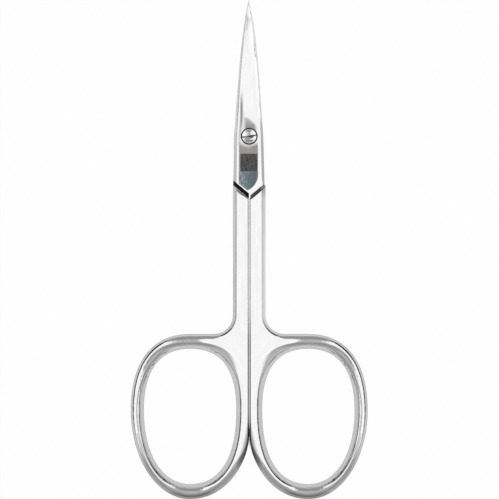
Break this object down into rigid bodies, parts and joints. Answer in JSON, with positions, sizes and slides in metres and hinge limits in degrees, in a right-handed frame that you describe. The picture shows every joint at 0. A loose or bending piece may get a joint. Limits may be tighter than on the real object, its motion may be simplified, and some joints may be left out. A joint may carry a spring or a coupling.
{
  "type": "cuticle scissors",
  "caption": "Curved cuticle scissors in polished steel: slim pointed blades that bend upwards, a slotted pivot screw in the lock, slender shanks and oval finger bows.",
  "frame": {"origin": "under the middle of the closed scissors' outline, at the level of the flat underside of shanks and bows", "axes": "+Y from the bows to the blade points, +Z out of the face that carries the screw head, which is also the way the blades bend, +X to the bow of the half that carries the screw head"},
  "size_m": [0.0428, 0.09, 0.0069],
  "materials": {
    "half_steel": "polished, with satin ground faces at the lock",
    "screw_steel": "polished"
  },
  "bodies": {
    "lower": {"lower_half": "half_steel", "pivot_screw": "screw_steel"},
    "upper": {"upper_half": "half_steel"}
  },
  "joints": [
    {"name": "pivot", "type": "hinge", "parent": "lower", "child": "upper", "pos_m": [0, 0.02057, 0.0014], "axis": [0, 0, 1], "range_deg": [0, 110]}
  ]
}
